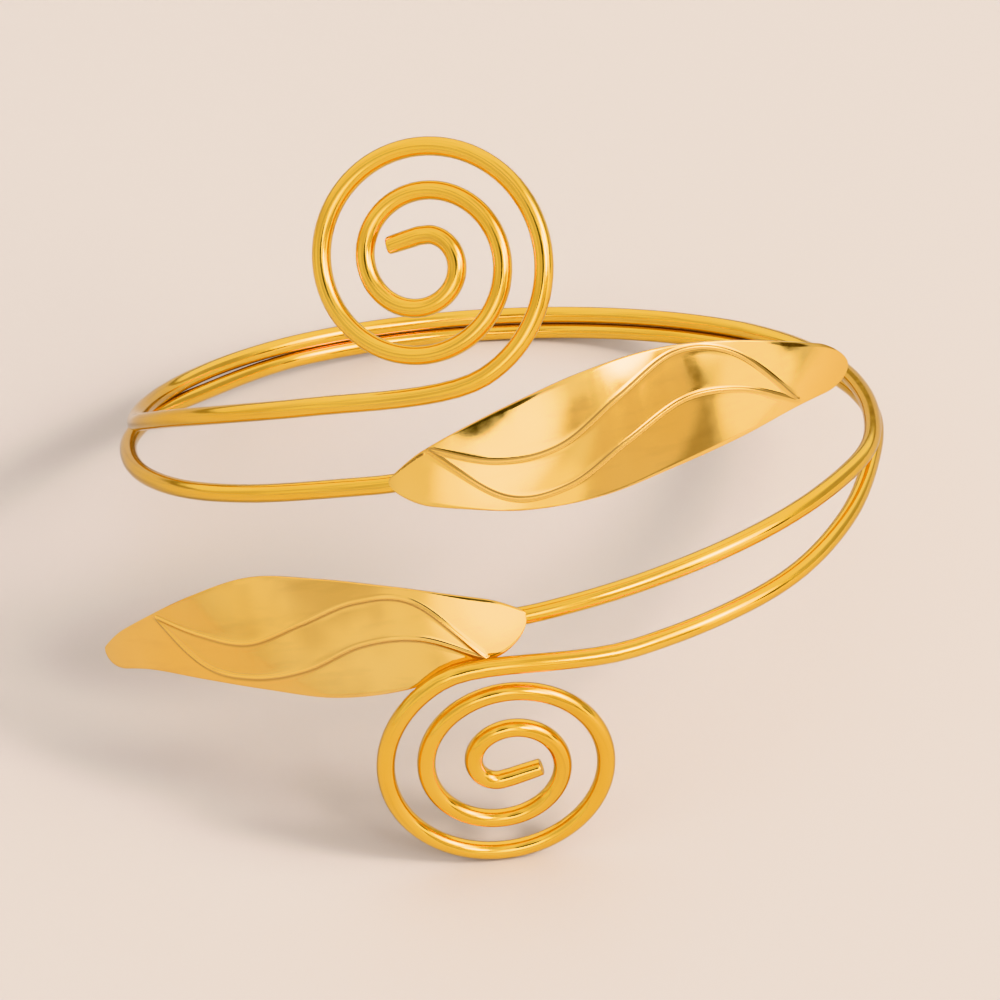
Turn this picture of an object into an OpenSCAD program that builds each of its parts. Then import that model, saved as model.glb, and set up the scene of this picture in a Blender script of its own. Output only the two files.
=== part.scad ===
// Upper arm cuff of two round wires. Each wire ends in a flat coil at one end and
// carries a stamped leaf at the other. The wires lie side by side round the back of
// the arm, where they are soldered, and cross over the front as four free ends.
//
// The cuff is worked out about the arm's axis, Z, with its back on +Y. Azimuths are in
// degrees from +X. The second wire is bent like the first and turned half a turn about Y.
// The finished cuff is then leaned back until it rests on its back and its lower coil.

/* [Cuff] */
// Inner diameter of the cuff, where the arm goes
arm_d = 85; // [72:1:100]
// Diameter of the round wire
wire_d = 2; // [1.4:0.1:2.4]
// Room for the solder between the two wires at the back
seam_gap = 0.06; // [0.04:0.02:0.2]

/* [Coils] */
// Radius of a coil where its wire starts to curl
coil_r = 13.7; // [11:0.1:16]
// Distance from one turn of a coil to the next
coil_pitch = 4.8; // [4:0.1:6]
// How much fuller the middle turns are than an even spiral
coil_swell = 0.5; // [0:0.1:0.8]
// Radius of the eye in the middle of a coil
coil_eye_r = 2.3; // [2:0.1:3.5]
// Straight stretch at the inner end of a coil
coil_tail = 4.6; // [2:0.1:6]
// How far the straight stretch turns in from the coil, in degrees
coil_hook = 14; // [0:1:25]
// Height of the upper coil's middle above the back band
upper_coil_h = 29.7; // [26:0.1:36]
// Depth of the lower coil's middle below the back band
lower_coil_h = 26.1; // [23:0.1:32]

/* [Leaves] */
// Length of a leaf
leaf_l = 55; // [45:1:60]
// Greatest width of a leaf
leaf_w = 13.3; // [11:0.1:16]
// Thickness of the leaf's sheet
leaf_t = 0.5; // [0.4:0.1:0.8]
// Length of a leaf's rounded ends
leaf_round = 4.2; // [2:0.1:6]
// Length of wire that is soldered behind a leaf's base
seat_l = 6; // [4:0.5:9]
// Height of the raised veins
vein_h = 0.15; // [0.1:0.05:0.5]
// Width of the raised veins
vein_w = 1; // [0.8:0.1:1.8]
// How far the long edges of a leaf drop towards the arm
leaf_crown = 0.35; // [0:0.05:0.5]
// Height of the upper leaf's base above the back band
upper_leaf_h = 6.5; // [4:0.1:9]
// Depth of the lower leaf's base below the back band
lower_leaf_h = 8.9; // [6:0.1:11]

/* [Hidden] */

wire_r = wire_d / 2;
mid_r = arm_d / 2 + wire_r;
band_z = (wire_d + seam_gap) / 2;
face_gap = 0.05;

// Facets of the wires and leaves
wire_sides = 12;
band_step = 4.5;
coil_step = 9;
seat_steps = 4;
leaf_rows = 34;

// Where the coil starts, measured in its plane from its right-hand side
curl_start = -60;
// Azimuth where the wire leaves the arm's curve for its coil
rise_end = 248;
// Azimuth over which the wire turns from the arm's curve into its leaf's curve
seat_az = 6;
coil_turns = (coil_r - coil_eye_r) / coil_pitch;

// The bend of each wire from the back band to its coil.
// Columns: azimuth, share of the way up to the coil's middle, share of the middle radius
UPPER_RISE = [
    [130, 0, 1], [160, 0, 0.99], [175, 0.03, 0.971], [190, 0.08, 0.964],
    [205, 0.189, 0.968], [220, 0.297, 0.978], [235, 0.39, 0.989], [250, 0.469, 1.001]];
LOWER_RISE = [
    [130, 0, 1], [160, 0, 0.994], [175, 0.031, 1], [190, 0.11, 0.997],
    [205, 0.225, 1.011], [220, 0.342, 1.023], [235, 0.419, 1.034], [250, 0.49, 1.04]];
// The bend of each wire from the back band to its leaf.
// Columns: azimuth, share of the way to the leaf's base, share of the middle radius
UPPER_STEM = [
    [50, 0, 1], [30, 0, 0.972], [14, 0.01, 0.995], [0, 0.06, 0.994], [-14, 0.136, 0.989],
    [-28, 0.24, 0.993], [-42, 0.388, 0.999], [-56, 0.59, 1], [-70, 0.827, 1],
    [-84, 1.03, 1]];
LOWER_STEM = [
    [50, 0, 1], [30, 0, 0.982], [14, 0.03, 0.978], [0, 0.107, 0.989], [-14, 0.214, 1.006],
    [-28, 0.339, 0.997], [-42, 0.488, 0.991], [-56, 0.658, 0.986], [-70, 0.842, 0.983],
    [-84, 1.02, 0.983]];

// The cut of each leaf. Columns: share of the length from the base, then the far edge
// and the near edge from the leaf's axis as shares of the width. The far edge is the one
// away from the back band.
UPPER_CUT = [
    [0, 0.075, 0.17], [0.12, 0.257, 0.307], [0.25, 0.411, 0.428], [0.4, 0.548, 0.45],
    [0.55, 0.6, 0.368], [0.7, 0.521, 0.281], [0.85, 0.353, 0.183], [1, 0.155, 0.148]];
LOWER_CUT = [
    [0, 0.247, 0.088], [0.12, 0.351, 0.231], [0.25, 0.471, 0.375], [0.4, 0.479, 0.503],
    [0.55, 0.367, 0.567], [0.7, 0.255, 0.447], [0.85, 0.168, 0.263], [1, 0.176, 0.064]];
// The two veins of each leaf. Columns: share of the way from the base junction to the tip
// junction, then the far vein and the near vein from the axis as shares of the width
UPPER_VEINS = [
    [0, 0.2, 0.2], [0.17, 0, -0.285], [0.33, 0.017, -0.308], [0.5, 0.298, -0.062],
    [0.67, 0.536, 0.155], [0.83, 0.4, 0.104], [1, -0.136, -0.136]];
LOWER_VEINS = [
    [0, 0.3, 0.3], [0.17, 0.072, -0.225], [0.33, 0.064, -0.287], [0.5, 0.223, -0.152],
    [0.67, 0.263, -0.024], [0.83, 0.144, -0.112], [1, -0.276, -0.276]];

// The set of each end. Coil: azimuth, share of the middle radius, turn and lean in degrees,
// how far its last stretch opens as a share of the pitch, share of the hook
UPPER_COIL = [265, 0.937, -9.1, 15.1, 0.127, 1.6];
LOWER_COIL = [266.5, 0.963, -10.2, 17.2, -0.03, 0.65];
// Length of the stretch that opens, in turns
open_turns = 0.6;
// How hard a coil pulls the stretch that leads into it towards its own direction
coil_pull = 0.7;
// Leaf: base azimuth, distance from its axis to the wire behind it, turn, slope and lean in
// degrees, radius of its bend as a share of the middle radius, shares of the two junctions
UPPER_LEAF = [-79.7, -0.34, -1, 11.1, -10, 1.17, 0.085, 0.848];
LOWER_LEAF = [-82.5, 0.34, 0, 6, 8, 1.268, 0.09, 0.81];

// Plain vector and table helpers
function unit(v) = v / norm(v);
function clamp(x, low, high) = min(max(x, low), high);
function polar(az, r, z) = [r * cos(az), r * sin(az), z];
// Direction in which a line of three points leaves its first point
function start_dir(a, b, c) = unit(4 * b - 3 * a - c);
function half_turn(pts) = [for (p = pts) [-p.x, p.y, -p.z]];
function turned(p, v, ang) =
    v * cos(ang) + cross(p, v) * sin(ang) + p * (p * v) * (1 - cos(ang));

// Slope of a table's column at row i, from the rows on both sides
function slope(rows, col, i) =
    let (a = rows[max(i - 1, 0)], b = rows[min(i + 1, len(rows) - 1)])
    (b[col] - a[col]) / (b[0] - a[0]);
// Smooth value of a table's column at x; the first column holds x and falls or rises
function smooth_at(rows, col, x) =
    let (
        rising = rows[1][0] > rows[0][0],
        past = [for (i = [0 : len(rows) - 1]) if (rising ? rows[i][0] <= x : rows[i][0] >= x) i],
        i = clamp(len(past) - 1, 0, len(rows) - 2),
        h = rows[i + 1][0] - rows[i][0],
        t = (x - rows[i][0]) / h,
        y0 = rows[i][col],
        y1 = rows[i + 1][col],
        m0 = slope(rows, col, i) * h,
        m1 = slope(rows, col, i + 1) * h)
    y0 * (2 * t ^ 3 - 3 * t ^ 2 + 1) + m0 * (t ^ 3 - 2 * t ^ 2 + t)
        + y1 * (3 * t ^ 2 - 2 * t ^ 3) + m1 * (t ^ 3 - t ^ 2);

// Middle line of a wire at an azimuth, between its leaf and its coil
function route_at(az, rise, stem, coil_h, leaf_h) =
    az > 90
    ? polar(az, mid_r * (az < rise[0][0] ? 1 : smooth_at(rise, 2, az)),
        band_z + (az < rise[0][0] ? 0 : smooth_at(rise, 1, az)) * (coil_h - band_z))
    : polar(az, mid_r * (az > stem[0][0] ? 1 : smooth_at(stem, 2, az)),
        band_z - (az > stem[0][0] ? 0 : smooth_at(stem, 1, az)) * (leaf_h + band_z));

// Points of a flat coil about its middle, from the outside in, with its straight tail
function coil_radius(turn, open) =
    coil_r - coil_pitch * turn + coil_swell * sin(180 * turn / coil_turns)
        + coil_pitch * open * clamp(1 + (turn - coil_turns) / open_turns, 0, 1) ^ 2;
function coil_points(coil, coil_h) =
    let (
        middle = polar(coil[0], mid_r * coil[1], coil_h),
        right = [cos(coil[2]), sin(coil[2]), 0],
        face = [sin(coil[2]) * cos(coil[3]), -cos(coil[2]) * cos(coil[3]), sin(coil[3])],
        up = cross(face, right),
        steps = round(coil_turns * 360 / coil_step),
        turns = [for (i = [0 : steps]) let (
            turn = coil_turns * i / steps,
            ang = curl_start + 360 * turn)
            middle + coil_radius(turn, coil[4]) * (cos(ang) * right + sin(ang) * up)],
        ahead = -start_dir(turns[steps], turns[steps - 1], turns[steps - 2]),
        hook = coil_hook * coil[5],
        hooked = ahead * cos(hook) + cross(face, ahead) * sin(hook),
        knee = turns[steps] + unit(ahead + hooked) * coil_tail / 4)
    concat(turns, [knee], [for (i = [1 : 3]) knee + hooked * coil_tail * i / 4]);

// Points of the smooth stretch between two points with given directions
function bridge(from, from_dir, to, to_dir, steps) =
    let (reach = norm(to - from))
    [for (i = [1 : steps]) let (t = i / (steps + 1))
        from * (2 * t ^ 3 - 3 * t ^ 2 + 1) + to * (3 * t ^ 2 - 2 * t ^ 3)
        + from_dir * reach * (t ^ 3 - 2 * t ^ 2 + t) + to_dir * reach * (t ^ 3 - t ^ 2)];

// Way from a leaf's base to a place along and across it, and out from its middle sheet
function leaf_way(along, across, out, leaf) =
    let (
        a = along * cos(leaf[3]) - across * sin(leaf[3]),
        b = along * sin(leaf[3]) + across * cos(leaf[3]),
        bend_r = mid_r * leaf[5],
        bend = a / bend_r * 180 / PI,
        x = (bend_r + out) * sin(bend),
        y = bend_r - (bend_r + out) * cos(bend),
        y2 = y * cos(leaf[4]) - b * sin(leaf[4]),
        x3 = x * cos(leaf[2]) + y2 * sin(leaf[2]),
        y3 = y2 * cos(leaf[2]) - x * sin(leaf[2]))
    x3 * [sin(leaf[0]), -cos(leaf[0]), 0] - y3 * [cos(leaf[0]), sin(leaf[0]), 0]
        - [0, 0, y * sin(leaf[4]) + b * cos(leaf[4])];

// Place of a leaf's base: its back rests on the end of its wire
seat_out = -(leaf_t / 2 + face_gap + wire_r);
function leaf_base(rise, stem, leaf, coil_h, leaf_h) =
    route_at(leaf[0], rise, stem, coil_h, leaf_h) - leaf_way(0, leaf[1], seat_out, leaf);

// Whole middle line of a wire, from behind its leaf round the back to its coil
function wire_line(rise, stem, coil, leaf, coil_h, leaf_h) =
    let (
        base = leaf_base(rise, stem, leaf, coil_h, leaf_h),
        seat = [for (i = [seat_steps : -1 : 0])
            base + leaf_way(seat_l * (i + 0.5) / (seat_steps + 0.5), leaf[1], seat_out, leaf)],
        az0 = leaf[0] + seat_az,
        steps = round((rise_end - az0) / band_step),
        band = [for (i = [0 : steps])
            route_at(az0 + (rise_end - az0) * i / steps, rise, stem, coil_h, leaf_h)],
        curl = coil_points(coil, coil_h),
        last = len(seat) - 1)
    concat(seat,
        bridge(seat[last], -start_dir(seat[last], seat[last - 1], seat[last - 2]),
            band[0], start_dir(band[0], band[1], band[2]), 2),
        band,
        bridge(band[steps], -start_dir(band[steps], band[steps - 1], band[steps - 2]),
            curl[0], coil_pull * start_dir(curl[0], curl[1], curl[2]), 5),
        curl);

// Rings of a round wire swept along a line, each carried on from the last without twist
function line_dir(line, i) =
    unit(line[min(i + 1, len(line) - 1)] - line[max(i - 1, 0)]);
function side_step(side, dir) = unit(side - dir * (side * dir));
function swept(line, sides) =
    let (
        first = side_step([0, 0, 1], line_dir(line, 0)),
        sideways = [for (i = 0, s = first; i < len(line);
            i = i + 1, s = i < len(line) ? side_step(s, line_dir(line, i)) : s) s])
    [for (i = [0 : len(line) - 1]) for (k = [0 : sides - 1])
        line[i] + wire_r * turned(line_dir(line, i), sideways[i], 360 * k / sides)];
function swept_faces(count, sides) = concat(
    [[for (k = [0 : sides - 1]) k]],
    [for (i = [0 : count - 2]) for (k = [0 : sides - 1])
        let (a = i * sides + k, b = i * sides + (k + 1) % sides)
        [a, a + sides, b + sides, b]],
    [[for (k = [sides - 1 : -1 : 0]) (count - 1) * sides + k]]);

// Share of the full width that is left near the leaf's rounded ends
function end_share(u) =
    let (s = min(min(u, 1 - u) * leaf_l, leaf_round) / leaf_round)
    sqrt(max(0, 1 - (1 - s) ^ 2));

// Lines across a leaf at u, as shares from the near edge to the far edge. Each vein has
// a crest line between two foot lines, and the veins stay apart at their junctions.
function leaf_lines(u, cut, veins, leaf) =
    let (
        held = clamp(u, leaf[6], leaf[7]),
        far = smooth_at(cut, 1, held),
        near = smooth_at(cut, 2, held),
        width = far + near,
        along = (held - leaf[6]) / (leaf[7] - leaf[6]),
        v1 = (smooth_at(veins, 1, along) + near) / width,
        v2 = (smooth_at(veins, 2, along) + near) / width,
        foot = vein_w / 2 / (width * leaf_w),
        apart = max((v1 - v2) / 2, foot * 1.1),
        middle = clamp((v1 + v2) / 2, apart + foot * 1.1, 1 - apart - foot * 1.1),
        top = middle + apart,
        low = middle - apart)
    [0, (low - foot) / 2, low - foot, low, low + foot, (low + top) / 2,
        top - foot, top, top + foot, (1 + top + foot) / 2, 1];
LEAF_LINES = 11;
CRESTS = [3, 7];

// How far the veins stand up at u, from nothing at the junctions
function vein_rise(u, leaf) =
    let (run = min(u - leaf[6], leaf[7] - u) * leaf_l / vein_w)
    vein_h * clamp(run / 2, 0, 1);

// Points of one face of a leaf; out is the face's distance from the middle sheet
function leaf_face(out, cut, veins, leaf, base) =
    [for (i = [0 : leaf_rows]) let (
        u = 0.5 - 0.4985 * cos(180 * i / leaf_rows),
        lines = leaf_lines(u, cut, veins, leaf),
        far = smooth_at(cut, 1, u) * end_share(u) * leaf_w,
        near = smooth_at(cut, 2, u) * end_share(u) * leaf_w)
        for (k = [0 : LEAF_LINES - 1]) let (
            across = lines[k] * (far + near) - near,
            drop = leaf_crown * ((across - (far - near) / 2) / (leaf_w / 2)) ^ 2)
            base + leaf_way(u * leaf_l, across,
                out + (k == CRESTS[0] || k == CRESTS[1] ? vein_rise(u, leaf) : 0) - drop,
                leaf)];
function leaf_points(cut, veins, leaf, base) = concat(
    leaf_face(leaf_t / 2, cut, veins, leaf, base),
    leaf_face(-leaf_t / 2, cut, veins, leaf, base));
// Faces of a leaf: the outer grid, the inner grid, the two long edges and the two ends
function leaf_faces() =
    let (n = LEAF_LINES, back = (leaf_rows + 1) * n, last = leaf_rows * n)
    concat(
        [for (i = [0 : leaf_rows - 1]) for (k = [0 : n - 2]) let (a = i * n + k)
            each [[a, a + 1, a + n + 1], [a, a + n + 1, a + n]]],
        [for (i = [0 : leaf_rows - 1]) for (k = [0 : n - 2]) let (a = back + i * n + k)
            each [[a, a + n + 1, a + 1], [a, a + n, a + n + 1]]],
        [for (i = [0 : leaf_rows - 1]) for (k = [0, n - 1]) let (a = i * n + k)
            each k == 0
                ? [[a, a + n, back + a + n], [a, back + a + n, back + a]]
                : [[a, back + a + n, a + n], [a, back + a, back + a + n]]],
        [for (k = [0 : n - 2]) each [[k, back + k, back + k + 1], [k, back + k + 1, k + 1]]],
        [for (k = [0 : n - 2]) let (a = last + k)
            each [[a, a + 1, back + a + 1], [a, back + a + 1, back + a]]]);

upper_line = wire_line(UPPER_RISE, LOWER_STEM, UPPER_COIL, LOWER_LEAF,
    upper_coil_h, lower_leaf_h);
lower_line = half_turn(wire_line(LOWER_RISE, UPPER_STEM, LOWER_COIL, UPPER_LEAF,
    lower_coil_h, upper_leaf_h));
upper_base = leaf_base(LOWER_RISE, UPPER_STEM, UPPER_LEAF, lower_coil_h, upper_leaf_h);
lower_base = leaf_base(UPPER_RISE, LOWER_STEM, LOWER_LEAF, upper_coil_h, lower_leaf_h);

// Sideways roll at which the cuff comes to rest, and the lean that brings its back and
// its lower coil to the same level, found by halving
rest_roll = -3.2;
function rolled(p) =
    [p.x * cos(rest_roll) + p.z * sin(rest_roll), p.y, p.z * cos(rest_roll) - p.x * sin(rest_roll)];
function level(p, lean) = p.z * cos(lean) - p.y * sin(lean);
rolled_line = [for (p = concat(upper_line, lower_line)) rolled(p)];
back_line = [for (p = rolled_line) if (p.y > 0) p];
front_line = [for (p = rolled_line) if (p.y <= 0) p];
function lowest(line, lean) = min([for (p = line) level(p, lean)]);
function rest_lean(low, high, tries) =
    let (lean = (low + high) / 2)
    tries == 0 ? lean
    : lowest(front_line, lean) < lowest(back_line, lean)
        ? rest_lean(lean, high, tries - 1)
        : rest_lean(low, lean, tries - 1);
lean = rest_lean(0, 60, 20);
function leaned(p) =
    let (q = rolled(p))
    [q.x, q.y * cos(lean) + q.z * sin(lean), level(q, lean)];

// Every piece's points, leaned back
upper_wire_pts = [for (p = swept(upper_line, wire_sides)) leaned(p)];
lower_wire_pts = [for (p = swept(lower_line, wire_sides)) leaned(p)];
upper_leaf_pts = [for (p = half_turn(leaf_points(
    UPPER_CUT, UPPER_VEINS, UPPER_LEAF, upper_base))) leaned(p)];
lower_leaf_pts = [for (p = leaf_points(
    LOWER_CUT, LOWER_VEINS, LOWER_LEAF, lower_base)) leaned(p)];
all_pts = concat(upper_wire_pts, lower_wire_pts, upper_leaf_pts, lower_leaf_pts);

// The origin is on the floor under the middle of the cuff
function lows(axis) = min([for (p = all_pts) p[axis]]);
function highs(axis) = max([for (p = all_pts) p[axis]]);
origin = [(lows(0) + highs(0)) / 2, (lows(1) + highs(1)) / 2, lows(2)];

module wire(pts) {
    polyhedron([for (p = pts) p - origin], swept_faces(len(pts) / wire_sides, wire_sides));
}

module leaf(pts) {
    polyhedron([for (p = pts) p - origin], leaf_faces());
}

module upper_wire() {
    color("goldenrod") wire(upper_wire_pts);
}

module lower_wire() {
    color("goldenrod") wire(lower_wire_pts);
}

module upper_leaf() {
    color("gold") leaf(upper_leaf_pts);
}

module lower_leaf() {
    color("gold") leaf(lower_leaf_pts);
}

upper_wire();
lower_wire();
upper_leaf();
lower_leaf();
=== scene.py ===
import math
from collections import namedtuple

import bmesh
import bpy
import numpy as np
from mathutils import Matrix, Vector


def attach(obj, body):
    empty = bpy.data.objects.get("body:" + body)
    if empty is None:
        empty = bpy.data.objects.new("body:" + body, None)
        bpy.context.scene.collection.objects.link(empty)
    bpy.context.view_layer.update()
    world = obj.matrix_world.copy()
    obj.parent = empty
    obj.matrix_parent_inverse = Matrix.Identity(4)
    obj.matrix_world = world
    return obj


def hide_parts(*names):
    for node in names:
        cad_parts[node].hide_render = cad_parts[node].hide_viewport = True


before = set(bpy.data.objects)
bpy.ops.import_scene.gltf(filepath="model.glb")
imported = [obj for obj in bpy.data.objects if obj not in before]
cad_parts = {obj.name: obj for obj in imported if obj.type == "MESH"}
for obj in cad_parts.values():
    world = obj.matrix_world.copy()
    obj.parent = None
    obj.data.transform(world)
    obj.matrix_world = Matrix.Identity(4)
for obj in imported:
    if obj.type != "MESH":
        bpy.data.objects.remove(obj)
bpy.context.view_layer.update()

# Sizes in millimetres, the same as the part's own. First the two wires, and the room
# between a leaf and the wire behind it
ARM_D = 85.0
WIRE_R = 1.0
SEAM_GAP = 0.06
FACE_GAP = 0.05
# The coils. The hook is in degrees, and the stretch that opens in turns
COIL_R = 13.7
COIL_PITCH = 4.8
COIL_SWELL = 0.5
COIL_EYE_R = 2.3
COIL_TAIL = 4.6
COIL_HOOK = 14.0
OPEN_TURNS = 0.6
UPPER_COIL_H = 29.7
LOWER_COIL_H = 26.1
# The leaves, and the wire that is soldered behind a leaf's base
LEAF_L = 55.0
LEAF_W = 13.3
LEAF_T = 0.5
LEAF_ROUND = 4.2
SEAT_L = 6.0
UPPER_LEAF_H = 6.5
LOWER_LEAF_H = 8.9
VEIN_H = 0.15
VEIN_W = 1.0
LEAF_CROWN = 0.35
# Angles in degrees: where a wire turns into its leaf's curve, where it leaves the arm's
# curve for its coil, where the coil starts, and the sideways roll of the resting cuff
SEAT_AZ = 6.0
RISE_END = 248.0
CURL_START = -60.0
REST_ROLL = -3.2
# How hard a coil pulls the stretch that leads into it towards its own direction
COIL_PULL = 0.7

MID_R = ARM_D / 2 + WIRE_R
BAND_Z = WIRE_R + SEAM_GAP / 2
COIL_TURNS = (COIL_R - COIL_EYE_R) / COIL_PITCH
SEAT_OUT = -(LEAF_T / 2 + FACE_GAP + WIRE_R)

# Steps of the middle lines: along the seat, the band and the curl in degrees, the
# stretches that join them, and the coil's tail
SEAT_STEPS = 9
BAND_STEP = 2.25
CURL_STEP = 4.5
INTO_STEPS = 4
OVER_STEPS = 9
TAIL_STEPS = 6

# The part's tables, in shares of the sizes above.
# From the back band to the coil: azimuth, share of the way up to the coil's middle, share
# of the middle radius
UPPER_RISE = [
    [130, 0, 1], [160, 0, 0.99], [175, 0.03, 0.971], [190, 0.08, 0.964],
    [205, 0.189, 0.968], [220, 0.297, 0.978], [235, 0.39, 0.989], [250, 0.469, 1.001]]
LOWER_RISE = [
    [130, 0, 1], [160, 0, 0.994], [175, 0.031, 1], [190, 0.11, 0.997],
    [205, 0.225, 1.011], [220, 0.342, 1.023], [235, 0.419, 1.034], [250, 0.49, 1.04]]
# From the back band to the leaf: azimuth, share of the way to the leaf's base, share of
# the middle radius
UPPER_STEM = [
    [50, 0, 1], [30, 0, 0.972], [14, 0.01, 0.995], [0, 0.06, 0.994], [-14, 0.136, 0.989],
    [-28, 0.24, 0.993], [-42, 0.388, 0.999], [-56, 0.59, 1], [-70, 0.827, 1],
    [-84, 1.03, 1]]
LOWER_STEM = [
    [50, 0, 1], [30, 0, 0.982], [14, 0.03, 0.978], [0, 0.107, 0.989], [-14, 0.214, 1.006],
    [-28, 0.339, 0.997], [-42, 0.488, 0.991], [-56, 0.658, 0.986], [-70, 0.842, 0.983],
    [-84, 1.02, 0.983]]
# The cut of each leaf: share of the length from the base, then the far and the near edge
# from the leaf's axis as shares of the width
UPPER_CUT = [
    [0, 0.075, 0.17], [0.12, 0.257, 0.307], [0.25, 0.411, 0.428], [0.4, 0.548, 0.45],
    [0.55, 0.6, 0.368], [0.7, 0.521, 0.281], [0.85, 0.353, 0.183], [1, 0.155, 0.148]]
LOWER_CUT = [
    [0, 0.247, 0.088], [0.12, 0.351, 0.231], [0.25, 0.471, 0.375], [0.4, 0.479, 0.503],
    [0.55, 0.367, 0.567], [0.7, 0.255, 0.447], [0.85, 0.168, 0.263], [1, 0.176, 0.064]]
# The veins of each leaf: share of the way from the base fork to the tip fork, then the
# far and the near vein from the axis as shares of the width
UPPER_VEINS = [
    [0, 0.2, 0.2], [0.17, 0, -0.285], [0.33, 0.017, -0.308], [0.5, 0.298, -0.062],
    [0.67, 0.536, 0.155], [0.83, 0.4, 0.104], [1, -0.136, -0.136]]
LOWER_VEINS = [
    [0, 0.3, 0.3], [0.17, 0.072, -0.225], [0.33, 0.064, -0.287], [0.5, 0.223, -0.152],
    [0.67, 0.263, -0.024], [0.83, 0.144, -0.112], [1, -0.276, -0.276]]
# The set of each coil: azimuth, share of the middle radius, turn and lean in degrees, how
# far its last stretch opens as a share of the pitch, and its share of the hook
Coil = namedtuple("Coil", "az share turn lean opening hook")
UPPER_COIL = Coil(265, 0.937, -9.1, 15.1, 0.127, 1.6)
LOWER_COIL = Coil(266.5, 0.963, -10.2, 17.2, -0.03, 0.65)
# The set of each leaf: azimuth of its base, distance from its axis to the wire behind it,
# turn, slope and lean in degrees, radius of its bend as a share of the middle radius, and
# the shares of the length at which its veins fork
Leaf = namedtuple("Leaf", "az wire_off turn slope lean bend base_fork tip_fork")
UPPER_LEAF = Leaf(-79.7, -0.34, -1, 11.1, -10, 1.17, 0.085, 0.848)
LOWER_LEAF = Leaf(-82.5, 0.34, 0, 6, 8, 1.268, 0.09, 0.81)


# Plain vector and table helpers
def unit(v):
    return v / np.linalg.norm(v)


def sind(a):
    return math.sin(math.radians(a))


def cosd(a):
    return math.cos(math.radians(a))


def held(value, low, high):
    return min(max(value, low), high)


def polar(az, r, z):
    return np.array([r * cosd(az), r * sind(az), z])


def start_dir(line):
    # Direction in which a line leaves its first point
    return unit(4 * line[1] - 3 * line[0] - line[2])


def end_dir(line):
    return -start_dir(line[::-1])


def row_slope(rows, col, i):
    a = rows[max(i - 1, 0)]
    b = rows[min(i + 1, len(rows) - 1)]
    return (b[col] - a[col]) / (b[0] - a[0])


def smooth_at(rows, col, x):
    # Smooth value of a table's column at x; the first column holds x and falls or rises
    rising = rows[1][0] > rows[0][0]
    past = [r for r in rows if (r[0] <= x if rising else r[0] >= x)]
    i = held(len(past) - 1, 0, len(rows) - 2)
    h = rows[i + 1][0] - rows[i][0]
    t = (x - rows[i][0]) / h
    m0 = row_slope(rows, col, i) * h
    m1 = row_slope(rows, col, i + 1) * h
    y0 = rows[i][col]
    y1 = rows[i + 1][col]
    s = y0 * (2 * t**3 - 3 * t**2 + 1) + m0 * (t**3 - 2 * t**2 + t)
    return s + y1 * (3 * t**2 - 2 * t**3) + m1 * (t**3 - t**2)


# Middle lines of the wires, about the arm's axis
def route_at(az, rise, stem, coil_h, leaf_h):
    if az > 90:
        on = az >= rise[0][0]
        lift = smooth_at(rise, 1, az) if on else 0
        share = smooth_at(rise, 2, az) if on else 1
        return polar(az, MID_R * share, BAND_Z + lift * (coil_h - BAND_Z))
    on = az <= stem[0][0]
    drop = smooth_at(stem, 1, az) if on else 0
    share = smooth_at(stem, 2, az) if on else 1
    return polar(az, MID_R * share, BAND_Z - drop * (leaf_h + BAND_Z))


def coil_radius(turn, opening):
    swell = COIL_SWELL * math.sin(math.pi * turn / COIL_TURNS)
    opened = held(1 + (turn - COIL_TURNS) / OPEN_TURNS, 0, 1) ** 2
    return COIL_R - COIL_PITCH * turn + swell + COIL_PITCH * opening * opened


def coil_points(coil, coil_h):
    # A flat coil about its middle, from the outside in, with its straight hooked tail
    middle = polar(coil.az, MID_R * coil.share, coil_h)
    right = np.array([cosd(coil.turn), sind(coil.turn), 0])
    flat = cosd(coil.lean)
    face = np.array([sind(coil.turn) * flat, -cosd(coil.turn) * flat, sind(coil.lean)])
    up = np.cross(face, right)
    steps = round(COIL_TURNS * 360 / CURL_STEP)
    turns = []
    for i in range(steps + 1):
        turn = COIL_TURNS * i / steps
        ang = CURL_START + 360 * turn
        way = cosd(ang) * right + sind(ang) * up
        turns.append(middle + coil_radius(turn, coil.opening) * way)
    ahead = end_dir(turns)
    inward = np.cross(face, ahead)
    hook = COIL_HOOK * coil.hook
    hooked = ahead * cosd(hook) + inward * sind(hook)
    # The first quarter of the tail rounds the hook's knee
    knee = turns[-1] + unit(ahead + hooked) * COIL_TAIL / 4
    rest = hooked * COIL_TAIL * 3 / 4
    tail = [knee + rest * i / TAIL_STEPS for i in range(1, TAIL_STEPS + 1)]
    return turns + [knee] + tail


def bridge(a, a_dir, b, b_dir, steps):
    # Points of the smooth stretch between two points with given directions
    reach = np.linalg.norm(b - a)
    out = []
    for i in range(1, steps + 1):
        t = i / (steps + 1)
        p = a * (2 * t**3 - 3 * t**2 + 1) + b * (3 * t**2 - 2 * t**3)
        out.append(p + reach * (a_dir * (t**3 - 2 * t**2 + t) + b_dir * (t**3 - t**2)))
    return out


def leaf_way(along, across, out, leaf):
    # Way from a leaf's base to a place along and across it, and out from its middle sheet
    a = along * cosd(leaf.slope) - across * sind(leaf.slope)
    b = along * sind(leaf.slope) + across * cosd(leaf.slope)
    bend_r = MID_R * leaf.bend
    bend = a / bend_r
    x = (bend_r + out) * math.sin(bend)
    y = bend_r - (bend_r + out) * math.cos(bend)
    y2 = y * cosd(leaf.lean) - b * sind(leaf.lean)
    z2 = y * sind(leaf.lean) + b * cosd(leaf.lean)
    x3 = x * cosd(leaf.turn) + y2 * sind(leaf.turn)
    y3 = y2 * cosd(leaf.turn) - x * sind(leaf.turn)
    c = cosd(leaf.az)
    s = sind(leaf.az)
    return np.array([x3 * s - y3 * c, -x3 * c - y3 * s, -z2])


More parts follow.
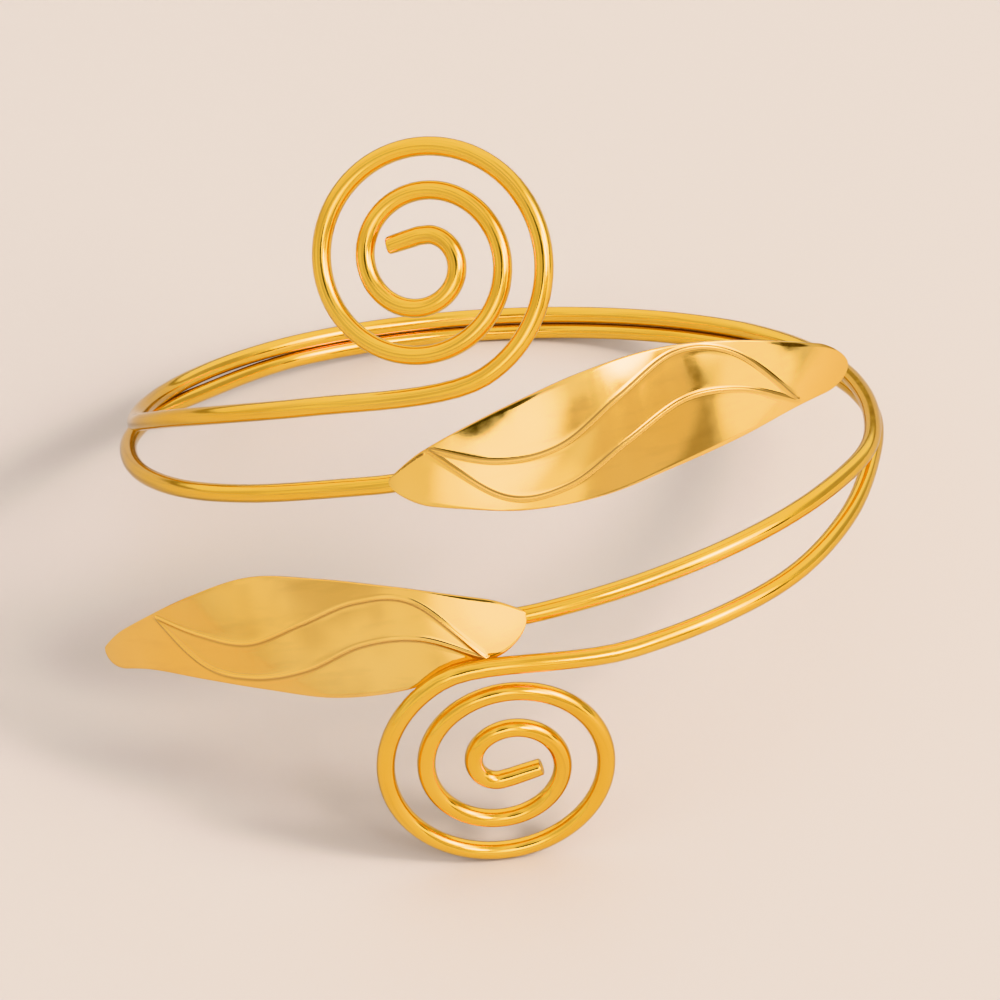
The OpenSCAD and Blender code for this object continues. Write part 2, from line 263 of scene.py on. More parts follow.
def leaf_base(rise, stem, leaf, coil_h, leaf_h):
    # A leaf's back rests on the end of its wire
    on_wire = route_at(leaf.az, rise, stem, coil_h, leaf_h)
    return on_wire - leaf_way(0, leaf.wire_off, SEAT_OUT, leaf)


def wire_line(rise, stem, coil, leaf, coil_h, leaf_h):
    # Whole middle line of a wire, from behind its leaf round the back to its coil
    base = leaf_base(rise, stem, leaf, coil_h, leaf_h)
    seat = []
    for i in range(SEAT_STEPS, 0, -1):
        along = SEAT_L * i / SEAT_STEPS
        seat.append(base + leaf_way(along, leaf.wire_off, SEAT_OUT, leaf))
    az0 = leaf.az + SEAT_AZ
    steps = round((RISE_END - az0) / BAND_STEP)
    band = []
    for i in range(steps + 1):
        az = az0 + (RISE_END - az0) * i / steps
        band.append(route_at(az, rise, stem, coil_h, leaf_h))
    curl = coil_points(coil, coil_h)
    into = bridge(seat[-1], end_dir(seat), band[0], start_dir(band), INTO_STEPS)
    over = bridge(band[-1], end_dir(band), curl[0], COIL_PULL * start_dir(curl), OVER_STEPS)
    return np.array(seat + into + band + over + curl)


HALF_TURN = np.array([-1.0, 1.0, -1.0])
upper_set = (UPPER_RISE, LOWER_STEM, UPPER_COIL, LOWER_LEAF, UPPER_COIL_H, LOWER_LEAF_H)
lower_set = (LOWER_RISE, UPPER_STEM, LOWER_COIL, UPPER_LEAF, LOWER_COIL_H, UPPER_LEAF_H)
upper_line = wire_line(*upper_set)
lower_line = wire_line(*lower_set) * HALF_TURN
upper_base = leaf_base(LOWER_RISE, UPPER_STEM, UPPER_LEAF, LOWER_COIL_H, UPPER_LEAF_H)
lower_base = leaf_base(UPPER_RISE, LOWER_STEM, LOWER_LEAF, UPPER_COIL_H, LOWER_LEAF_H)

# The rest pose: the lean at which the back band and the lower coil touch the floor
# together, found by halving
LEAN_MOST = 60.0
LEAN_TRIES = 20


def rolled(pts):
    c = cosd(REST_ROLL)
    s = sind(REST_ROLL)
    return np.stack([pts[:, 0] * c + pts[:, 2] * s, pts[:, 1],
                     pts[:, 2] * c - pts[:, 0] * s], axis=1)


def leaned(pts, lean):
    q = rolled(pts)
    c = cosd(lean)
    s = sind(lean)
    return np.stack([q[:, 0], q[:, 1] * c + q[:, 2] * s, q[:, 2] * c - q[:, 1] * s], axis=1)


def rest_lean(pts):
    at_back = pts[pts[:, 1] > 0]
    at_front = pts[pts[:, 1] <= 0]
    low = 0.0
    high = LEAN_MOST
    for _ in range(LEAN_TRIES):
        lean = (low + high) / 2
        if leaned(at_front, lean)[:, 2].min() < leaned(at_back, lean)[:, 2].min():
            low = lean
        else:
            high = lean
    return lean


both_lines = np.concatenate([upper_line, lower_line])
LEAN = rest_lean(both_lines)
at_rest = leaned(both_lines, LEAN)
ORIGIN = (at_rest.min(axis=0) + at_rest.max(axis=0)) / 2
ORIGIN[2] = at_rest[:, 2].min() - WIRE_R


def to_row(pts):
    # The part's own frame, in metres
    return (leaned(np.asarray(pts), LEAN) - ORIGIN) / 1000


# Mesh building. Each vertex carries its place along the piece, its place in the grain, and
# how much painted shade it takes: at the foot of a vein, or in the seam between the wires
def new_mesh():
    bm = bmesh.new()
    along = bm.verts.layers.float.new("along")
    grain = bm.verts.layers.float_vector.new("grain")
    foot = bm.verts.layers.float.new("foot")
    return bm, along, grain, foot


def new_piece(name, bm, pts, material, stands_for):
    for v, p in zip(bm.verts, to_row(pts)):
        v.co = p
    bmesh.ops.recalc_face_normals(bm, faces=bm.faces)
    for f in bm.faces:
        f.smooth = True
    me = bpy.data.meshes.new(name)
    bm.to_mesh(me)
    bm.free()
    me.materials.append(material)
    ob = bpy.data.objects.new(name, me)
    bpy.context.scene.collection.objects.link(ob)
    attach(ob, "root")
    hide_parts(stands_for)


WIRE_SIDES = 60
# The two cut ends. A ring's entry holds how far it lies in from the end and its size as a
# share of the wire's, and at the coil how far the cut slants. The tips close the ends
SEAT_END = ((0.0, 0.55), (0.05, 0.86), (0.0, 0.95), (0.09, 1.0))
SEAT_TIP = 0.03
COIL_END = ((0.16, 1.0, 0.0), (0.03, 0.97, 0.05), (0.0, 0.9, 0.06), (0.06, 0.78, 0.05),
            (0.14, 0.5, 0.02))
COIL_TIP = 0.1
# Side of the coil's cut that stands out most, in radians
SLANT_SIDE = 0.6
# The coil's end is nipped: over a share of its tail it grows narrower and deeper
NIP_REACH = 0.7
NIP_NARROW = 0.09
NIP_DEEP = 0.03
# The shaded seam: distance from the other wire's middle line, in wire radii, at which the
# shade is full, and at which it ends
SEAM_FULL = 1.15
SEAM_END = 1.65
# Millimetres of wire to a unit of "along", and the grain's stretch along a piece
ALONG_MM = 100
GRAIN_ALONG = 2


def line_dirs(line):
    d = np.empty_like(line)
    d[1:-1] = line[2:] - line[:-2]
    d[0] = line[1] - line[0]
    d[-1] = line[-1] - line[-2]
    return d / np.linalg.norm(d, axis=1)[:, None]


def side_frames(dirs):
    # A side for each point of a line, carried on from the last without twist
    side = np.array([0.0, 0.0, 1.0])
    out = []
    for d in dirs:
        side = unit(side - d * (side @ d))
        out.append(side)
    return out


def tube(name, line, beside, material, stands_for):
    # Round wire with cut ends, beside the other wire's middle line
    dirs = line_dirs(line)
    frames = side_frames(dirs)
    run = np.concatenate([[0], np.cumsum(np.linalg.norm(np.diff(line, axis=0), axis=1))])
    total = run[-1]
    bm, tone, draw, seam = new_mesh()
    rings = []

    def add_ring(centre, i, width, height, along, slant=0.0):
        d = dirs[i]
        other = np.cross(d, frames[i])
        close = beside[np.argmin(np.linalg.norm(beside - centre, axis=1))]
        out = []
        for k in range(WIRE_SIDES):
            a = 2 * math.pi * k / WIRE_SIDES
            way = width * math.cos(a) * frames[i] + height * math.sin(a) * other
            p = centre + WIRE_R * way + d * slant * math.sin(a + SLANT_SIDE)
            v = bm.verts.new(tuple(p))
            v[tone] = along / ALONG_MM
            v[draw] = (math.cos(a), math.sin(a), GRAIN_ALONG * along / ALONG_MM)
            gap = np.linalg.norm(p - close) / WIRE_R
            v[seam] = held((SEAM_END - gap) / (SEAM_END - SEAM_FULL), 0.0, 1.0)
            out.append(v)
        rings.append(out)

    for inset, size in SEAT_END:
        add_ring(line[0] + dirs[0] * inset, 0, size, size, 0.0)
    for i in range(1, len(line) - 1):
        left = total - run[i]
        nip = max(0.0, 1 - left / (COIL_TAIL * NIP_REACH)) ** 2
        add_ring(line[i], i, 1 - NIP_NARROW * nip, 1 + NIP_DEEP * nip, run[i])
    for inset, size, slant in COIL_END:
        add_ring(line[-1] - dirs[-1] * inset, -1, (1 - NIP_NARROW) * size,
                 (1 + NIP_DEEP) * size, total, slant)
    for a, b in zip(rings[:-1], rings[1:]):
        for k in range(WIRE_SIDES):
            after = (k + 1) % WIRE_SIDES
            bm.faces.new((a[k], a[after], b[after], b[k]))
    for cap, centre, along in ((rings[0], line[0] + dirs[0] * SEAT_TIP, 0.0),
                               (rings[-1], line[-1] - dirs[-1] * COIL_TIP, total)):
        tip = bm.verts.new(tuple(centre))
        tip[tone] = along / ALONG_MM
        tip[draw] = (0, 0, GRAIN_ALONG * along / ALONG_MM)
        for k in range(WIRE_SIDES):
            bm.faces.new((cap[k], cap[(k + 1) % WIRE_SIDES], tip))
    new_piece(name, bm, [v.co for v in bm.verts], material, stands_for)


# The leaves' rows along, which crowd towards both ends and stop just short of them
LEAF_ROWS = 250
ROW_REACH = 0.4992
# The lines across: beside a vein's crest and along the rounded rim, in millimetres, and
# the counts of the even lines beside and between the veins
VEIN_GAPS = [0.0, 0.04, 0.08, 0.13, 0.19, 0.27, 0.45]
RIM_GAPS = [0.012, 0.035, 0.07, 0.12]
SIDE_LINES = 11
MIDDLE_LINES = 10
RIM_R = 0.12
# The least room that a vein's lines have to the leaf's edge and to the other vein, and the
# shares of the room that they take up
EDGE_ROOM = 0.4
FORK_ROOM = 0.2
OUTER_SHARE = 0.8
INNER_SHARE = 0.45
# The least share of the width for which the rim's lines are spread at a rounded end
LEAST_END = 0.05
# Half-width of a vein's crest, as a share of the vein's width
CREST_SHARE = 0.17
# The line of shade at a vein's foot: its distance from the crest, its half-width, and how
# far it runs past a fork, in millimetres
FOOT_OFF = 0.2
FOOT_W = 0.09
FOOT_PAST = 0.3
# It fades before the tip fork, over a share of the leaf's length and by a share
FADE_REACH = 0.25
FADE_MOST = 0.7
# Step in u for the slope of a vein
SLOPE_STEP = 0.004
# Millimetres across a leaf to a unit of its grain
GRAIN_ACROSS_MM = 6


def end_share(u):
    # Share of the full width that is left near the leaf's rounded ends
    s = min(min(u, 1 - u) * LEAF_L, LEAF_ROUND) / LEAF_ROUND
    return math.sqrt(max(0.0, 1 - (1 - s) ** 2))


def ridge_at(gap):
    return math.exp(-((abs(gap) / VEIN_W / CREST_SHARE) ** 2))


def vein_places(u, veins, leaf):
    # Offsets of the near and the far vein, held at the forks beyond them
    along = (held(u, leaf.base_fork, leaf.tip_fork) - leaf.base_fork)
    along /= leaf.tip_fork - leaf.base_fork
    return smooth_at(veins, 2, along) * LEAF_W, smooth_at(veins, 1, along) * LEAF_W


def sheet_shares(u, cut, veins, leaf):
    # Shares across the sheet at which its lines run, drawn in close to both veins
    near_v, far_v = vein_places(u, veins, leaf)
    at = held(u, leaf.base_fork, leaf.tip_fork)
    near = -smooth_at(cut, 2, at) * LEAF_W
    far = smooth_at(cut, 1, at) * LEAF_W
    reach = VEIN_GAPS[-1]
    gap = max(far_v - near_v, FORK_ROOM)
    middle = (far_v + near_v) / 2
    near_v = max(middle - gap / 2, near + EDGE_ROOM)
    far_v = min(middle + gap / 2, far - EDGE_ROOM)
    inner = min(1.0, INNER_SHARE * gap / reach)
    before = min(1.0, OUTER_SHARE * (near_v - near) / reach)
    after = min(1.0, OUTER_SHARE * (far - far_v) / reach)
    out = list(np.linspace(near, near_v - reach * before, SIDE_LINES))[:-1]
    out += [near_v - g * before for g in VEIN_GAPS[::-1]]
    out += [near_v + g * inner for g in VEIN_GAPS[1:]]
    out += list(np.linspace(near_v + reach * inner, far_v - reach * inner, MIDDLE_LINES))[1:-1]
    out += [far_v - g * inner for g in VEIN_GAPS[::-1]]
    out += [far_v + g * after for g in VEIN_GAPS[1:]]
    out += list(np.linspace(far_v + reach * after, far, SIDE_LINES))[1:]
    wide = 1 / max(end_share(u), LEAST_END)
    first = min(wide, OUTER_SHARE * (out[1] - near) / RIM_R)
    last = min(wide, OUTER_SHARE * (far - out[-2]) / RIM_R)
    out[1:1] = [near + g * first for g in RIM_GAPS]
    out[-1:-1] = [far - g * last for g in RIM_GAPS[::-1]]
    return [(p - near) / (far - near) for p in out]


def relief_at(u, across, at, before, after, leaf):
    # How far the stamping stands up, and how deep the shade is along its foot. The veins'
    # places come at u and just before and after it
    past = max(leaf.base_fork - u, u - leaf.tip_fork, 0.0) * LEAF_L
    best = 0.0
    foot = 0.0
    for v, v1, v2 in zip(at, before, after):
        tilt = (v2 - v1) / (2 * SLOPE_STEP * LEAF_L)
        gap = (across - v) / math.hypot(1, tilt)
        best = max(best, ridge_at(math.hypot(gap, past)))
        off = (gap - FOOT_OFF) / FOOT_W
        foot = max(foot, math.exp(-(off**2 + (past / FOOT_PAST) ** 2)))
    faded = held((u - leaf.tip_fork + FADE_REACH) / FADE_REACH, 0.0, 1.0)
    return best, foot * (1 - FADE_MOST * faded)


def leaf_rows(cut, veins, leaf):
    # For each row: u, then across, rise, foot and worn of every place on it, and the
    # middle between its edges
    rows = []
    for i in range(LEAF_ROWS + 1):
        u = 0.5 - ROW_REACH * math.cos(math.pi * i / LEAF_ROWS)
        far = smooth_at(cut, 1, u) * end_share(u) * LEAF_W
        near = smooth_at(cut, 2, u) * end_share(u) * LEAF_W
        at = vein_places(u, veins, leaf)
        before = vein_places(u - SLOPE_STEP, veins, leaf)
        after = vein_places(u + SLOPE_STEP, veins, leaf)
        places = []
        for t in sheet_shares(u, cut, veins, leaf):
            across = t * (far + near) - near
            rise, foot = relief_at(u, across, at, before, after, leaf)
            rim = min(min(t, 1 - t) * (far + near), min(u, 1 - u) * LEAF_L)
            inset = held(RIM_R - rim, 0.0, RIM_R)
            worn = RIM_R - math.sqrt(RIM_R**2 - inset**2)
            places.append((across, rise, foot, worn))
        rows.append((u, places, (far - near) / 2))
    return rows


def sheet_leaf(name, cut, veins, leaf, base, flip, material, stands_for):
    # Stamped sheet with raised veins, dropped long edges and a rounded rim
    bm, tone, draw, shade = new_mesh()
    rows = leaf_rows(cut, veins, leaf)
    grids = []
    for side in (1, -1):
        grid = []
        for u, places, middle in rows:
            line = []
            for across, rise, foot, worn in places:
                drop = LEAF_CROWN * ((across - middle) / (LEAF_W / 2)) ** 2
                out = side * (LEAF_T / 2 - worn) + VEIN_H * rise - drop
                v = bm.verts.new(tuple(base + leaf_way(u * LEAF_L, across, out, leaf)))
                v[tone] = u
                v[draw] = (across / GRAIN_ACROSS_MM, 0, GRAIN_ALONG * u)
                v[shade] = foot if side > 0 else 0.0
                line.append(v)
            grid.append(line)
        grids.append(grid)
    for grid in grids:
        for a, b in zip(grid[:-1], grid[1:]):
            for k in range(len(a) - 1):
                bm.faces.new((a[k], a[k + 1], b[k + 1], b[k]))
    rims = []
    for grid in grids:
        rims.append([r[0] for r in grid] + grid[-1][1:]
                    + [r[-1] for r in grid][-2::-1] + grid[0][-2:0:-1])
    count = len(rims[0])
    for i in range(count):
        k = (i + 1) % count
        bm.faces.new((rims[0][i], rims[0][k], rims[1][k], rims[1][i]))
    pts = np.array([v.co for v in bm.verts])
    if flip:
        pts = pts * HALF_TURN
    new_piece(name, bm, pts, material, stands_for)


# Shader node groups: they give out only colours, masks, values and normals
FLOAT = "NodeSocketFloat"
COLOR = "NodeSocketColor"
VECTOR = "NodeSocketVector"


def group(name, ins, outs):
    g = bpy.data.node_groups.new(name, "ShaderNodeTree")
    for kind, label, value in ins:
        s = g.interface.new_socket(name=label, in_out="INPUT", socket_type=kind)
        s.default_value = value
    for kind, label in outs:
        g.interface.new_socket(name=label, in_out="OUTPUT", socket_type=kind)
    return g, g.nodes.new("NodeGroupInput"), g.nodes.new("NodeGroupOutput")


def node(tree, kind, inputs=None, **sets):
    # A new node with its settings and the values of its inputs
    n = tree.nodes.new(kind)
    for key, value in sets.items():
        setattr(n, key, value)
    for key, value in (inputs or {}).items():
        n.inputs[key].default_value = value
    return n


def plating_tone():
    # Soft drift of the plating's colour, from a paler to a redder gold
    g, gi, go = group("plating_tone", [
        (COLOR, "Pale", (1, 0.75, 0.35, 1)), (COLOR, "Deep", (0.9, 0.55, 0.15, 1)),
        (FLOAT, "Scale", 40.0), (FLOAT, "Amount", 0.5)], [(COLOR, "Color")])
    link = g.links.new
    co = node(g, "ShaderNodeTexCoord")
    big = node(g, "ShaderNodeTexNoise", {"Detail": 3, "Roughness": 0.5})
    spread = node(g, "ShaderNodeMapRange", {"From Min": 0.3, "From Max": 0.7})
    times = node(g, "ShaderNodeMath", operation="MULTIPLY", use_clamp=True)
    mix = node(g, "ShaderNodeMix", data_type="RGBA")
    link(co.outputs["Object"], big.inputs["Vector"])
    link(gi.outputs["Scale"], big.inputs["Scale"])
    link(big.outputs["Fac"], spread.inputs["Value"])
    link(spread.outputs["Result"], times.inputs[0])
    link(gi.outputs["Amount"], times.inputs[1])
    link(times.outputs["Value"], mix.inputs["Factor"])
    link(gi.outputs["Pale"], mix.inputs["A"])
    link(gi.outputs["Deep"], mix.inputs["B"])
    link(mix.outputs["Result"], go.inputs["Color"])
    return g


def fine_marks():
    # Hairline scuffs, and a faint banding along the piece from drawing or stamping
    g, gi, go = group("fine_marks", [
        (FLOAT, "Scale", 600.0), (FLOAT, "Bands", 60.0), (FLOAT, "Low", 0.1), (FLOAT, "High", 0.2),
        (FLOAT, "Depth", 0.1)], [(FLOAT, "Roughness"), (FLOAT, "Streaks"), (VECTOR, "Normal")])
    link = g.links.new
    co = node(g, "ShaderNodeTexCoord")
    along = node(g, "ShaderNodeAttribute", attribute_name="along")
    grain = node(g, "ShaderNodeAttribute", attribute_name="grain")
    streaks = node(g, "ShaderNodeTexNoise", {"Scale": 3.5, "Detail": 4})
    fine = node(g, "ShaderNodeTexNoise", {"Detail": 5, "Roughness": 0.6})
    bands = node(g, "ShaderNodeTexNoise", {"Detail": 4}, noise_dimensions="1D")
    added = node(g, "ShaderNodeMath", operation="ADD")
    half = node(g, "ShaderNodeMath", {1: 0.5}, operation="MULTIPLY")
    rough = node(g, "ShaderNodeMapRange", {"From Min": 0.35, "From Max": 0.65})
    bump = node(g, "ShaderNodeBump", {"Distance": 0.00004})
    link(co.outputs["Object"], fine.inputs["Vector"])
    link(gi.outputs["Scale"], fine.inputs["Scale"])
    link(grain.outputs["Vector"], streaks.inputs["Vector"])
    link(along.outputs["Fac"], bands.inputs["W"])
    link(gi.outputs["Bands"], bands.inputs["Scale"])
    link(fine.outputs["Fac"], added.inputs[0])
    link(bands.outputs["Fac"], added.inputs[1])
    link(added.outputs["Value"], half.inputs[0])
    link(half.outputs["Value"], rough.inputs["Value"])
    link(gi.outputs["Low"], rough.inputs["To Min"])
    link(gi.outputs["High"], rough.inputs["To Max"])
    link(gi.outputs["Depth"], bump.inputs["Strength"])
    link(fine.outputs["Fac"], bump.inputs["Height"])
    link(rough.outputs["Result"], go.inputs["Roughness"])
    link(streaks.outputs["Fac"], go.inputs["Streaks"])
    link(bump.outputs["Normal"], go.inputs["Normal"])
    return g


def shaded():
    # Darker lines: soft streaks along the grain, and the painted shade that the mesh carries
    g, gi, go = group("shaded", [
        (COLOR, "Color", (1, 0.7, 0.3, 1)), (COLOR, "Shade", (0.32, 0.14, 0.03, 1)),
        (FLOAT, "Streaks", 0.5), (FLOAT, "Amount", 0.3)], [(COLOR, "Color")])
    link = g.links.new
    foot = node(g, "ShaderNodeAttribute", attribute_name="foot")
    streaks = node(g, "ShaderNodeMapRange", {"From Min": 0.52, "From Max": 0.72})
    deep = node(g, "ShaderNodeMath", {1: 0.7}, operation="MULTIPLY", use_clamp=True)
    most = node(g, "ShaderNodeMath", operation="MAXIMUM")
    mix = node(g, "ShaderNodeMix", data_type="RGBA")
    link(gi.outputs["Streaks"], streaks.inputs["Value"])
    link(gi.outputs["Amount"], streaks.inputs["To Max"])
    link(foot.outputs["Fac"], deep.inputs[0])
    link(streaks.outputs["Result"], most.inputs[0])
    link(deep.outputs["Value"], most.inputs[1])
    link(most.outputs["Value"], mix.inputs["Factor"])
    link(gi.outputs["Color"], mix.inputs["A"])
    link(gi.outputs["Shade"], mix.inputs["B"])
    link(mix.outputs["Result"], go.inputs["Color"])
    return g


TONE = plating_tone()
MARKS = fine_marks()
SHADED = shaded()


def gold(name, pale, deep, drift, amount, rough, depth, fine, bands, streaks):
    # drift and amount: size and strength of the tone's drift. rough: the lowest and the
    # highest roughness. fine and bands: how close the scuffs and the bands lie
    m = bpy.data.materials.new(name)
    m.use_nodes = True
    t = m.node_tree
    bsdf = t.nodes["Principled BSDF"]
    bsdf.inputs["Metallic"].default_value = 1.0
    bsdf.inputs["Specular Tint"].default_value = (0.66, 0.60, 0.48, 1)
    # A clear lacquer keeps crisp pale reflections over the softer plating
    bsdf.inputs["Coat Weight"].default_value = 0.55
    bsdf.inputs["Coat Roughness"].default_value = 0.05
    tone = node(t, "ShaderNodeGroup", node_tree=TONE)
    marks = node(t, "ShaderNodeGroup", node_tree=MARKS)
    shade = node(t, "ShaderNodeGroup", node_tree=SHADED)
    tone.inputs["Pale"].default_value = (*pale, 1)
    tone.inputs["Deep"].default_value = (*deep, 1)
    tone.inputs["Scale"].default_value = drift
    tone.inputs["Amount"].default_value = amount
    marks.inputs["Scale"].default_value = fine
    marks.inputs["Bands"].default_value = bands
    marks.inputs["Low"].default_value = rough[0]
    marks.inputs["High"].default_value = rough[1]
    marks.inputs["Depth"].default_value = depth
    shade.inputs["Amount"].default_value = streaks
    t.links.new(tone.outputs["Color"], shade.inputs["Color"])
    t.links.new(marks.outputs["Streaks"], shade.inputs["Streaks"])
    t.links.new(shade.outputs["Color"], bsdf.inputs["Base Color"])
    t.links.new(marks.outputs["Roughness"], bsdf.inputs["Roughness"])
    t.links.new(marks.outputs["Normal"], bsdf.inputs["Normal"])
    return m


wire_gold = gold("wire_gold", pale=(1.0, 0.64, 0.13), deep=(0.97, 0.55, 0.07), drift=55,
                 amount=0.7, rough=(0.09, 0.18), depth=0.1, fine=900, bands=40, streaks=0.2)
leaf_gold = gold("leaf_gold", pale=(1.0, 0.66, 0.22), deep=(0.98, 0.57, 0.12), drift=45,
                 amount=0.6, rough=(0.07, 0.13), depth=0.05, fine=700, bands=30, streaks=0.1)

tube("upper_wire_round", upper_line, lower_line, wire_gold, "upper_wire")
tube("lower_wire_round", lower_line, upper_line, wire_gold, "lower_wire")
sheet_leaf("upper_leaf_stamped", UPPER_CUT, UPPER_VEINS, UPPER_LEAF, upper_base, True,
           leaf_gold, "upper_leaf")
sheet_leaf("lower_leaf_stamped", LOWER_CUT, LOWER_VEINS, LOWER_LEAF, lower_base, False,
           leaf_gold, "lower_leaf")

# Floor: plain, pale and warm; half its width is in metres
FLOOR_HALF = 3
FLOOR_TONE = (0.515, 0.462, 0.436, 1)
floor_mat = bpy.data.materials.new("floor_pale")
floor_mat.use_nodes = True
floor_bsdf = floor_mat.node_tree.nodes["Principled BSDF"]
floor_bsdf.inputs["Base Color"].default_value = FLOOR_TONE
floor_bsdf.inputs["Roughness"].default_value = 0.55
floor_bsdf.inputs["Specular IOR Level"].default_value = 0.3
bm = bmesh.new()
corners = [bm.verts.new((x * FLOOR_HALF, y * FLOOR_HALF, 0))
           for x, y in ((-1, -1), (1, -1), (1, 1), (-1, 1))]
bm.faces.new(corners)
floor_mesh = bpy.data.meshes.new("floor")
bm.to_mesh(floor_mesh)
bm.free()
floor_mesh.materials.append(floor_mat)
floor = bpy.data.objects.new("floor", floor_mesh)
bpy.context.scene.collection.objects.link(floor)

# Camera at the photo's angle: degrees right of the front and up, and its roll
AZIMUTH = 5.28
ELEVATION = 41.725
ROLL = -1.88
CAMERA_PLACE = (0.03111, -0.33534, 0.31282)
CAMERA_LENS = 139.6
camera_data = bpy.data.cameras.new("camera")
camera_data.sensor_width = 36
camera_data.lens = CAMERA_LENS
camera_data.clip_start = 0.01
camera = bpy.data.objects.new("camera", camera_data)
toward = Vector((-sind(AZIMUTH) * cosd(ELEVATION), cosd(AZIMUTH) * cosd(ELEVATION),
                 -sind(ELEVATION)))
camera.location = CAMERA_PLACE
camera.rotation_euler = (toward.to_track_quat("-Z", "Y").to_matrix().to_4x4()
                         @ Matrix.Rotation(math.radians(ROLL), 4, "Z")).to_euler()
bpy.context.scene.collection.objects.link(camera)
bpy.context.scene.camera = camera

# One small key light throws the long soft shadows, and isn't mirrored in the gold
KEY_PLACE = (0.882, -0.245, 0.758)
KEY_AIM = (0, 0, 0.03)
KEY_SIZE = 0.18
KEY_POWER = 5.0
key_data = bpy.data.lights.new("key", "AREA")
key_data.shape = "RECTANGLE"
key_data.size = KEY_SIZE
key_data.size_y = KEY_SIZE
key_data.energy = KEY_POWER
key_data.color = (1, 0.97, 0.93)
key = bpy.data.objects.new("key", key_data)
key.location = KEY_PLACE
key.rotation_euler = (Vector(KEY_AIM) - Vector(KEY_PLACE)).to_track_quat("-Z", "Y").to_euler()
key.visible_glossy = False
bpy.context.scene.collection.objects.link(key)

# The studio around the cuff: pale walls, darker near the floor behind, with soft screens
# and dark shapes between them. A wall's stops run from the floor's level to overhead
FRONT_STOPS = [
    (0.0, (0.78, 0.74, 0.69)), (0.1, (0.88, 0.84, 0.79)), (0.45, (0.97, 0.94, 0.90)),
    (1.0, (1.04, 1.01, 0.98))]
BEHIND_STOPS = [
    (0.0, (0.62, 0.56, 0.50)), (0.04, (0.32, 0.25, 0.18)), (0.08, (0.38, 0.30, 0.22)),
    (0.13, (1.04, 1.00, 0.94)), (0.8, (1.12, 1.08, 1.03)), (1.0, (1.04, 1.01, 0.98))]
# Where the front wall turns into the one behind, by the share of a direction along Y
WALL_TURN = (0.0, 0.5)
# Unevenness of a lived-in room in front, soft and large
CLOUD_SCALE = 2.6
CLOUD_EDGES = (0.42, 0.62)
CLOUD_TONE = (0.72, 0.65, 0.56)
# Round patches, each laid over the ones before: azimuth from the back towards the right,
# elevation, radius at which it is full, radius at which it ends, and its tone
PATCHES = [
    # The dimmer corner of the room and the large screen on the right
    (58, 8, 10, 30, (0.52, 0.46, 0.39)),
    (104, 37, 13, 24, (4.6, 4.5, 4.3)),
    (104, 38, 5, 11, (14, 13.7, 13.2)),
    # The softer screen in front
    (177, 28, 12, 18, (2.05, 2.05, 2.2)),
    (175, 29, 6, 13, (2.9, 2.95, 3.3)),
    (160, 14, 5, 9, (1.35, 1.30, 1.22)),
    # The dimmer wall between the two, with a small lamp above and a pale spot beside it
    (134, 6, 13, 17, (0.46, 0.385, 0.30)),
    (137, 18, 12, 16, (0.80, 0.69, 0.56)),
    (155, 29, 1, 6, (0.72, 0.62, 0.50)),
    (138, 39, 7, 10.5, (12, 11.8, 11.4)),
    (107, 8, 9, 14, (1.70, 1.62, 1.48)),
    # A dark upright bar, as a stand would make
    (122, 16, 0.6, 2.2, (0.36, 0.28, 0.18)),
    (122.5, 18.5, 0.6, 2.2, (0.22, 0.16, 0.10)),
    (123, 21, 0.6, 2.2, (0.22, 0.16, 0.10)),
    (123.5, 23.5, 0.6, 2.2, (0.36, 0.28, 0.18)),
    # Dark shapes in front and on the right
    (186, 41, 8.8, 9.6, (0.05, 0.04, 0.03)),
    (181.5, 41.5, 7.2, 8.0, (0.05, 0.04, 0.03)),
    (93.5, 9.5, 6.4, 7.2, (0.09, 0.06, 0.04))]

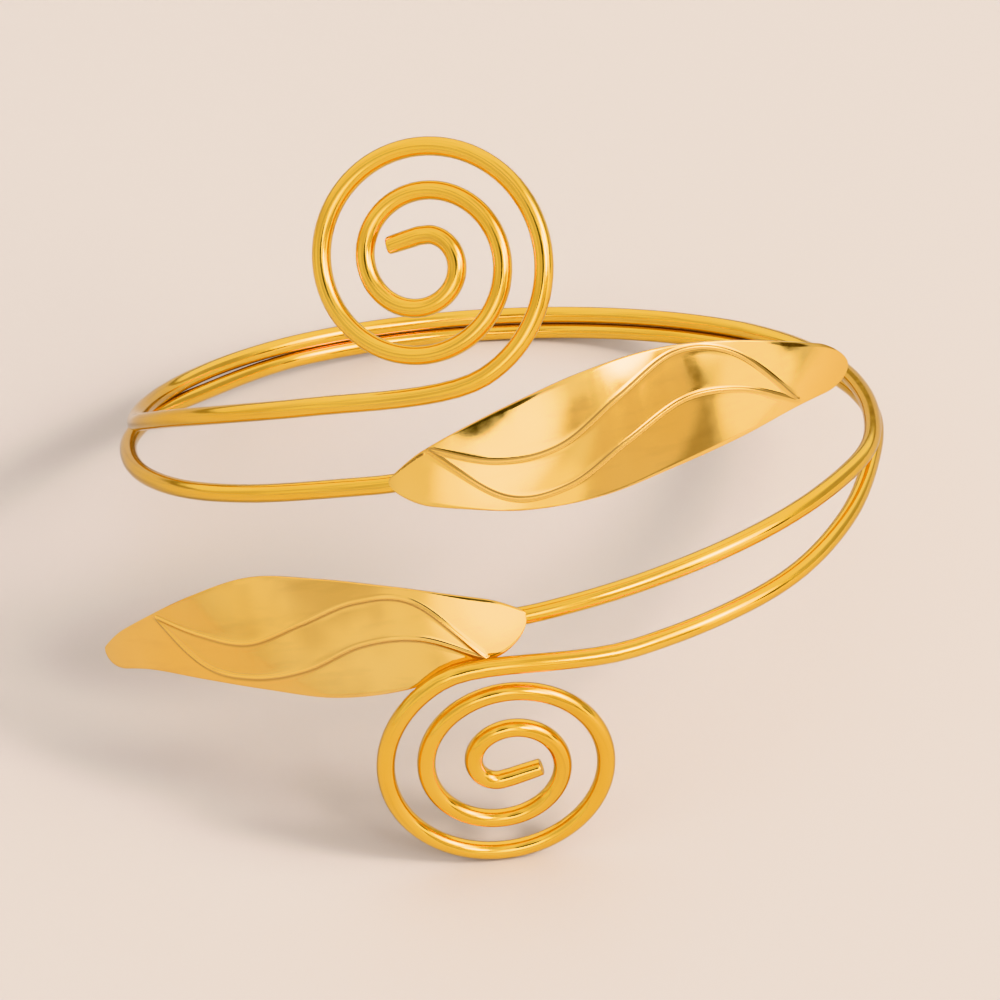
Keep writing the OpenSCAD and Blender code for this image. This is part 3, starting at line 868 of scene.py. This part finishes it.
world = bpy.data.worlds.new("studio")
bpy.context.scene.world = world
world.use_nodes = True
wt = world.node_tree
coord = node(wt, "ShaderNodeTexCoord")
split = node(wt, "ShaderNodeSeparateXYZ")
wt.links.new(coord.outputs["Generated"], split.inputs["Vector"])


def wall(stops):
    # A wall's tones by height
    r = node(wt, "ShaderNodeValToRGB")
    for e, (place, tint) in zip(r.color_ramp.elements, (stops[0], stops[-1])):
        e.position = place
        e.color = (*tint, 1)
    for place, tint in stops[1:-1]:
        r.color_ramp.elements.new(place).color = (*tint, 1)
    wt.links.new(split.outputs["Z"], r.inputs["Fac"])
    return r.outputs["Color"]


def smooth_step(value, low, high):
    m = node(wt, "ShaderNodeMapRange", {"From Min": low, "From Max": high},
             interpolation_type="SMOOTHSTEP")
    wt.links.new(value, m.inputs["Value"])
    return m.outputs["Result"]


def blend(mask, under):
    mix = node(wt, "ShaderNodeMix", data_type="RGBA")
    wt.links.new(mask, mix.inputs["Factor"])
    wt.links.new(under, mix.inputs["A"])
    return mix


def tinted(mask, under, tint):
    mix = blend(mask, under)
    mix.inputs["B"].default_value = (*tint, 1)
    return mix.outputs["Result"]


clouds = node(wt, "ShaderNodeTexNoise", {"Scale": CLOUD_SCALE, "Detail": 3})
wt.links.new(coord.outputs["Generated"], clouds.inputs["Vector"])
in_front = tinted(smooth_step(clouds.outputs["Fac"], *CLOUD_EDGES), wall(FRONT_STOPS), CLOUD_TONE)
walls = blend(smooth_step(split.outputs["Y"], *WALL_TURN), in_front)
wt.links.new(wall(BEHIND_STOPS), walls.inputs["B"])
studio = walls.outputs["Result"]
for az, el, full, ends, tint in PATCHES:
    dot = node(wt, "ShaderNodeVectorMath", operation="DOT_PRODUCT")
    dot.inputs[1].default_value = (sind(az) * cosd(el), cosd(az) * cosd(el), sind(el))
    wt.links.new(coord.outputs["Generated"], dot.inputs[0])
    studio = tinted(smooth_step(dot.outputs["Value"], cosd(ends), cosd(full)), studio, tint)
wt.links.new(studio, wt.nodes["Background"].inputs["Color"])

# A plain product look: colours stay as they are, and highlights turn pale
bpy.context.scene.view_settings.view_transform = "Khronos PBR Neutral"
